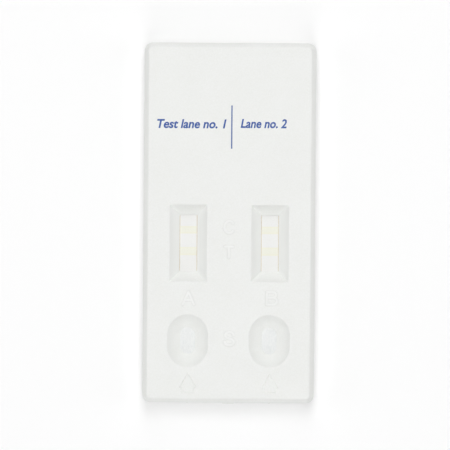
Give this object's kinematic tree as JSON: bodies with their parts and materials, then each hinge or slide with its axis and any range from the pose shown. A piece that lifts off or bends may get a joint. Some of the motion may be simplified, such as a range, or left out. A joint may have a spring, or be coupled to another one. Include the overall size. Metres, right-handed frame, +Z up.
{
  "type": "lateral flow cassette",
  "caption": "Flat white moulded test cassette with two strip lanes, each with a bowl-shaped sample well and a bevelled result window.",
  "frame": {"origin": "middle of the cassette's underside", "axes": "+Z up out of the lid's face, +Y along the lanes from the sample wells to the absorbent ends, +X across the lanes"},
  "size_m": [0.0358, 0.0752, 0.005],
  "materials": {
    "housing": "moulded white styrene with a fine spark texture",
    "backing_card": "smooth white film card",
    "membrane": "matt white nitrocellulose",
    "conjugate_pad": "glass fibre with dried conjugate",
    "sample_pad": "white glass fibre felt",
    "absorbent_pad": "white cotton blotting paper"
  },
  "bodies": {
    "root": {"lid": "housing", "base": "housing", "backing_card_a": "backing_card", "backing_card_b": "backing_card", "membrane_a": "membrane", "membrane_b": "membrane", "conjugate_pad_a": "conjugate_pad", "conjugate_pad_b": "conjugate_pad", "sample_pad_a": "sample_pad", "sample_pad_b": "sample_pad", "absorbent_pad_a": "absorbent_pad", "absorbent_pad_b": "absorbent_pad"}
  },
  "joints": []
}
